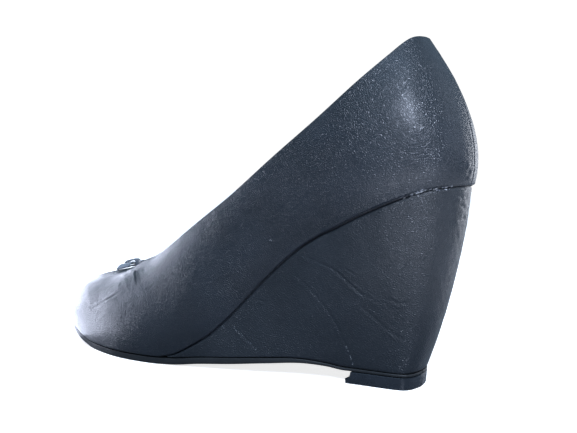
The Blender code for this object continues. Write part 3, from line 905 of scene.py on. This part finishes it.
# Levels of the heel tip from the outsole to the floor: height, and how far its side stands in
TIP_LEVELS = (
    (TOP_PIECE_HEIGHT, 0.35 * MM),
    (TOP_PIECE_HEIGHT - 0.25 * MM, 0.05 * MM),
    (LIP_THICKNESS + 0.3 * MM, 0.25 * MM),
    (LIP_THICKNESS, 0.30 * MM),
    (0.5 * MM, 0.42 * MM),
    (0.15 * MM, 0.55 * MM),
    (0.0, 0.80 * MM),
)
TIP_BACK = 6 * MM
LIP_ROUND = 0.3 * MM
LIP_CORNER = 0.35 * MM


def make_top_piece(finish):
    """The top piece: sides that taper to the floor, rounded foot and a lip to the front."""
    outer, inner = sides(sole_loop(SOLE_STEPS))
    front = column(TREAD, "along")[-2] * LENGTH
    body_front = front - LIP_REACH
    behind = outer[:, 0] < body_front
    outer = outer[behind]
    inner = inner[behind]
    back = (outer[-1, 0] + inner[-1, 0]) / 2
    stations = [(front - LIP_ROUND, LIP_CORNER), (front, 0.0), (body_front, 0.0)]
    stations = [(place, cap, outer[0, 1], inner[0, 1], LIP_THICKNESS, 0.0) for place, cap in stations]
    for side_outer, side_inner in zip(outer, inner):
        rounding = ease(1 - (side_outer[0] - back) / TIP_BACK)
        stations.append((side_outer[0], 0.0, side_outer[1], side_inner[1], TOP_PIECE_HEIGHT, rounding))
    sections = []
    for place, cap, left, right, top, rounding in stations:
        centre = (left + right) / 2
        width = max(abs(left - right), MM)
        keeps = [max(0.0, 1 - 2 * (inset + cap) / width) for height, inset in TIP_LEVELS]
        walls = []
        for side in (left, right):
            walls.append([(place + inset * rounding, centre + (side - centre) * keep, min(height, top))
                          for keep, (height, inset) in zip(keeps, TIP_LEVELS)])
        sections.append(walls[0] + walls[1][::-1])
    return grid_piece("heel_tip", np.array(sections), finish, ("top_piece",),
                      closed=False, sharp_angle=TIP_SHARP)


def seat_on(piece, points):
    """Put points (across the bow, fore and aft, above the vamp) on the leather at the throat."""
    tree = BVHTree.FromObject(piece, bpy.context.evaluated_depsgraph_get())
    turn = math.radians(BOW_TURN)
    centre = LAST[0]["top_along"] * LENGTH + BOW_SETBACK
    placed = []
    for across, forward, height in points:
        along = centre + forward * math.cos(turn) + across * math.sin(turn)
        side = across * math.cos(turn) - forward * math.sin(turn)
        hit = tree.ray_cast(Vector((LENGTH / 2 - along, side, SEAT_HEIGHT)), Vector((0, 0, -1)))[0]
        placed.append((along, side, hit.z + height))
    return np.array(placed)


def make_bow_loops(upper, finish):
    """The bow's ribbon: one flattened ring with soft edges, gathered under the band."""
    half = BOW_WIDTH / 2
    middle = BOW_BAND_WIDTH / 2 + CLEARANCE
    angle = np.arange(RIBBON_STEPS) * 2 * math.pi / RIBBON_STEPS
    across = np.cos(angle) * (half - BOW_STRAP / 2)
    fullness = ease((np.abs(across) - middle) / (half * FULL_AT - middle))
    rise = (BOW_HEIGHT - BOW_STRAP) * (PINCHED_HEIGHT + (1 - PINCHED_HEIGHT) * fullness)
    bulge = np.sin(angle)
    share = np.where(bulge > 0, FULL_OVER, -FULL_UNDER)
    height = np.abs(bulge) ** LOOP_ROUND * rise * share
    height = height - height.min() + CLEARANCE + BOW_STRAP / 2
    path = np.stack([across, height], axis=1)
    tangent = unit(np.roll(path, -1, axis=0) - np.roll(path, 1, axis=0))
    away = np.stack([tangent[:, 1], -tangent[:, 0]], axis=1) * BOW_STRAP / 2
    width = BOW_DEPTH / 2 * (PINCHED_WIDTH + (1 - PINCHED_WIDTH) * fullness)
    spreads = np.linspace(-1, 1, 17)
    profile = [(spread, 1.0) for spread in spreads] + [(spread, -1.0) for spread in spreads[::-1]]
    sections = []
    for centre, out, reach, near in zip(path, away, width, 1 - fullness):
        for spread, side in profile:
            thinning = 1 - RIBBON_THINNING * max(0.0, (abs(spread) - RIBBON_FLAT) / (1 - RIBBON_FLAT)) ** 2
            pleat = PLEAT_DEPTH * near * math.cos(spread * 3 * math.pi)
            spot = centre + out * side * thinning * RIBBON_SHARE
            sections.append((spot[0], reach * spread, spot[1] + pleat))
    return make_piece("bow_ribbon", seat_on(upper, sections),
                      tube_faces(RIBBON_STEPS, len(profile), True), finish,
                      ("bow_loops",), BOW_SHARP)


def make_bow_band(upper, finish):
    """The band over the middle of the bow."""
    inside_width = BOW_DEPTH / 2 * PINCHED_WIDTH + 3 * CLEARANCE
    inside_height = BOW_STRAP + (BOW_HEIGHT - BOW_STRAP) * PINCHED_HEIGHT + 4 * CLEARANCE
    angle = np.linspace(0.0, math.pi, BAND_STEPS + 1)
    turn = np.sign(np.cos(angle)) * np.abs(np.cos(angle)) ** BAND_ROUND
    lift = np.sin(angle) ** BAND_ROUND
    spreads = np.linspace(-1, 1, 11)
    profile = [(spread, 1.0 - BAND_THINNING * abs(spread) ** 3) for spread in spreads]
    profile += [(spread, BAND_INSIDE) for spread in spreads[::-1]]
    points = []
    for forward, up in zip(turn, lift):
        for spread, grow in profile:
            points.append((spread * BOW_BAND_WIDTH / 2, forward * (inside_width + grow * BOW_STRAP),
                           CLEARANCE + up * (inside_height + grow * BOW_STRAP)))
    return make_piece("bow_wrap", seat_on(upper, points), tube_faces(len(angle), len(profile), False),
                      finish, ("bow_band",), BOW_SHARP)


# Stitches on the lining: their spacing, the share of the way to the topline, and the thread
STITCH_SPACING = 2.6 * MM
STITCH_LEVEL = 0.962
STITCH_SPAN = (0.12, 0.88)
THREAD_WIDE = 0.24 * MM
THREAD_HIGH = 0.18 * MM
TUBE_CORNERS = np.arange(6) * 2 * math.pi / 6


def make_topline_stitches(finish):
    """A row of small stitches on the lining, just under the folded edge."""
    line = upper_surface(12, STITCH_LEVEL + np.array([-0.01, 0.0, 0.01]))
    normals = surface_normals(line)[:, 1]
    path = line[:, 1] - normals * (WALL + LINING_GAP)
    closed = np.vstack([path, path[:1]])
    count = int(along_path(closed, 0.0)[1] / STITCH_SPACING)
    points = []
    faces = []
    for number in range(count):
        spine = along_path(closed, (number + np.linspace(*STITCH_SPAN, 5)) / count)[0]
        run = unit(spine[-1] - spine[0])
        out = -normals[np.argmin(np.linalg.norm(path - spine[2], axis=1))]
        aside = np.cross(run, out)
        rings = []
        for place, middle in enumerate(spine):
            fade = math.sin(math.pi * (place + 0.6) / 5.2)
            rings.append([middle + (aside * math.cos(turn) * THREAD_WIDE
                                    + out * math.sin(turn) * THREAD_HIGH) * fade for turn in TUBE_CORNERS])
        add_tube(points, faces, rings)
    return make_piece("topline_stitches", points, faces, finish)


# Pale flecks on the outer side: a line of them under the seam, and scuffs on the wedge and the toe.
# Sizes, spread and paths are in millimetres.
FLECK_RISE = 0.35
FLECK_LIFT = 0.02 * MM
FLECKS = named_rows("count length width spread path", (
    (22, 1.3, 0.26, 0.18, [(44, -24.4, 74.6), (34, -24.2, 79.4)]),
    (44, 1.4, 0.42, 0.28, [(33, -24.2, 79.8), (24, -23.6, 82.3)]),
    (60, 1.6, 0.50, 0.42, [(24, -23.6, 82.0), (13, -21.4, 83.6)]),
    (28, 1.2, 0.34, 0.22, [(13, -21.4, 84.0), (3, -13.0, 85.0)]),
    (12, 0.6, 0.13, 0.12, [(48.6, -21.8, 18), (46.4, -20.3, 12.5), (45.2, -19.3, 7.8)]),
    (16, 0.5, 0.13, 0.25, [(103, -30.8, 22), (96, -29.4, 16.8), (89, -28.3, 11.0)]),
    (5, 0.6, 0.15, 0.2, [(107, -31.6, 20.8), (105.4, -31.4, 20.2)]),
    (5, 0.5, 0.12, 0.4, [(84, -31.6, 62), (79, -31.4, 60)]),
))


def make_flecks(pieces, finish):
    """Small flat flecks that lie on the leather along listed paths."""
    graph = bpy.context.evaluated_depsgraph_get()
    trees = [BVHTree.FromObject(piece, graph) for piece in pieces]
    chance = np.random.default_rng(41)
    points = []
    faces = []
    for row in FLECKS:
        path = smooth_path(row["path"]) * MM
        for _ in range(row["count"]):
            spot, whole = along_path(path, chance.uniform(0.0, 1.0))
            spot = spot + chance.normal(size=3) * row["spread"] * MM
            hits = [tree.find_nearest(Vector(to_frame(spot))) for tree in trees]
            ground, normal = min(hits, key=lambda hit: hit[3])[:2]
            run = path[-1] - path[0]
            run = Vector((-run[0], run[1], run[2])) + Vector(chance.normal(size=3) * 0.2 * whole)
            run = (run - normal * run.dot(normal)).normalized()
            aside = normal.cross(run)
            half = row["length"] * MM * chance.uniform(0.15, 0.6)
            reach = row["width"] * MM * chance.uniform(0.3, 0.8)
            rings = []
            for step in np.linspace(-0.92, 0.92, 5):
                swell = reach * math.sqrt(1 - step ** 2)
                corners = [ground + run * half * step + aside * math.cos(turn) * swell
                           + normal * (FLECK_RISE * math.sin(turn) * swell + FLECK_LIFT)
                           for turn in TUBE_CORNERS]
                rings.append([(LENGTH / 2 - corner.x, corner.y, corner.z) for corner in corners])
            add_tube(points, faces, rings)
    return make_piece("pale_flecks", points, faces, finish)


FLOOR_HALF = 4.0


def make_floor():
    """The pale studio floor, lit from below as well, with a faint shadow where the shoe stands."""
    mesh = bpy.data.meshes.new("floor")
    corners = [(x * FLOOR_HALF, y * FLOOR_HALF, 0) for x, y in ((-1, -1), (1, -1), (1, 1), (-1, 1))]
    mesh.from_pydata(corners, [], [(0, 1, 2, 3)])
    floor = bpy.data.objects.new("floor", mesh)
    bpy.context.scene.collection.objects.link(floor)
    n = Finish("floor_paper")
    n.done(Base_Color=(0.20, 0.21, 0.23), Roughness=0.30, IOR=1.5)
    paper = n.add("ShaderNodeBsdfDiffuse", dict(Color=(0.8, 0.8, 0.8)))
    glow = n.add("ShaderNodeEmission", dict(Strength=0.80))
    lit = n.add("ShaderNodeAddShader")
    n.put(lit.inputs[0], paper.outputs["BSDF"])
    n.put(lit.inputs[1], glow.outputs["Emission"])
    n.show("Material Output", n.shader.outputs["BSDF"], lit.outputs["Shader"])
    mesh.materials.append(n.material)


# Soft lights: the point that each faces, the way to it from there in degrees, its distance
# and size in metres, its brightness and colour, and whether it lies on the floor, facing up
LIGHTS = named_rows("name target azimuth height distance wide tall glow colour lies", (
    ("toe_side", (-0.09, 0.0, 0.03), 167, 3, 0.31, 0.28, 0.11, 11.0, (0.90, 0.96, 1.17), False),
    ("toe_above", (-0.06, 0.0, 0.04), -160, 42, 0.40, 0.16, 0.10, 1.6, (0.90, 0.96, 1.17), False),
    ("toe_floor", (-0.105, 0.0, 0.004), 190, 0, 0.06, 0.15, 0.15, 4.2, (0.90, 0.96, 1.17), True),
    ("front_side", (0.04, 0.0, 0.085), -118, 0, 0.50, 0.40, 0.16, 0.30, (0.86, 0.97, 1.22), False),
    ("heel_side", (0.11, 0.0, 0.08), 80, 2, 0.8, 0.24, 0.34, 5.0, (0.92, 0.96, 1.06), False),
    ("behind_heel", (0.11, 0.0, 0.10), 24, 26, 0.50, 0.44, 0.44, 1.5, (0.86, 0.97, 1.20), False),
    ("behind_floor", (0.117, 0.0, 0.006), 0, 0, 0.20, 0.32, 0.32, 1.1, (0.88, 0.95, 1.12), True),
    ("over_camera", (0.10, -0.02, 0.10), -63, 34, 0.8, 0.12, 0.20, 86.0, (0.86, 0.97, 1.22), False),
    ("overhead", (0.05, 0.0, 0.10), -85, 60, 0.9, 0.8, 0.4, 2.0, (0.68, 0.97, 1.28), False),
    ("heel_floor", (0.10, 0.0, 0.004), -56, 0, 0.28, 0.38, 0.20, 4.2, (0.88, 0.95, 1.12), True),
))


def area_light(row):
    """A soft light that faces a point on the shoe."""
    azimuth = math.radians(row["azimuth"])
    height = math.radians(row["height"])
    level = math.cos(height)
    way = Vector((math.cos(azimuth) * level, math.sin(azimuth) * level, math.sin(height)))
    data = bpy.data.lights.new(row["name"], "AREA")
    data.shape = "RECTANGLE"
    data.size = row["wide"]
    data.size_y = row["tall"]
    data.energy = row["glow"] * math.pi * row["wide"] * row["tall"]
    data.color = row["colour"]
    light = bpy.data.objects.new(row["name"], data)
    light.location = Vector(row["target"]) + way * row["distance"]
    facing = Vector((0.0, 0.0, 1.0)) if row["lies"] else -way
    light.rotation_euler = facing.to_track_quat("-Z", "Y").to_euler()
    light.visible_camera = False
    bpy.context.scene.collection.objects.link(light)


def make_lights():
    """A bright studio: dim and bluish to the shoe, white behind it, with soft lights."""
    world = bpy.data.worlds.new("studio")
    bpy.context.scene.world = world
    world.use_nodes = True
    n = Nodes(world.node_tree)
    parts = n.add("ShaderNodeSeparateXYZ", dict(Vector=n.coordinates.outputs["Generated"]))
    sky = n.mix(n.ramp(parts.outputs["Z"], -0.1, 0.9), (0.125, 0.155, 0.190), (0.40, 0.60, 0.82))
    room = n.fill(n.tree.nodes["Background"], dict(Color=sky))
    white = n.add("ShaderNodeBackground", dict(Color=(1.0, 1.0, 1.0), Strength=1.05))
    n.show("World Output", room.outputs["Background"], white.outputs["Background"])
    for row in LIGHTS:
        area_light(row)


# The camera: its place, the way it looks in degrees from straight at the side, and the picture
VIEW_PLACE = (0.2219, -0.3084, 0.0893)
VIEW_TURN = 32.4
PICTURE_WIDTH = 577
FOCAL_PIXELS = 755.5
HORIZON_ABOVE_MIDDLE = 39.4
SENSOR_WIDTH = 36.0


def make_camera():
    """The photograph's view: low, from the outer side and a little behind."""
    data = bpy.data.cameras.new("camera")
    data.sensor_width = SENSOR_WIDTH
    data.lens = SENSOR_WIDTH * FOCAL_PIXELS / PICTURE_WIDTH
    data.shift_y = -HORIZON_ABOVE_MIDDLE / PICTURE_WIDTH
    data.clip_start = 0.01
    data.clip_end = 20.0
    camera = bpy.data.objects.new("camera", data)
    camera.location = VIEW_PLACE
    camera.rotation_euler = (math.radians(90.0), 0.0, math.radians(VIEW_TURN))
    bpy.context.scene.collection.objects.link(camera)
    bpy.context.scene.camera = camera


def build():
    """Camera, lights and every piece."""
    make_camera()
    make_lights()
    make_floor()
    lining = lining_leather()
    upper = make_upper(pebbled_leather())
    make_lining(lining)
    wedge = make_wedge(cover_leather())
    make_outsole(sole_rubber())
    make_top_piece(tip_plastic())
    make_insole(lining)
    glare_ribbon = ribbon_painted_glare()
    make_bow_loops(upper, glare_ribbon)
    make_bow_band(upper, glare_ribbon)
    make_topline_stitches(thread())
    make_flecks((upper, wedge), pale_fleck_finish())
    bpy.context.scene.view_settings.view_transform = "Standard"


build()
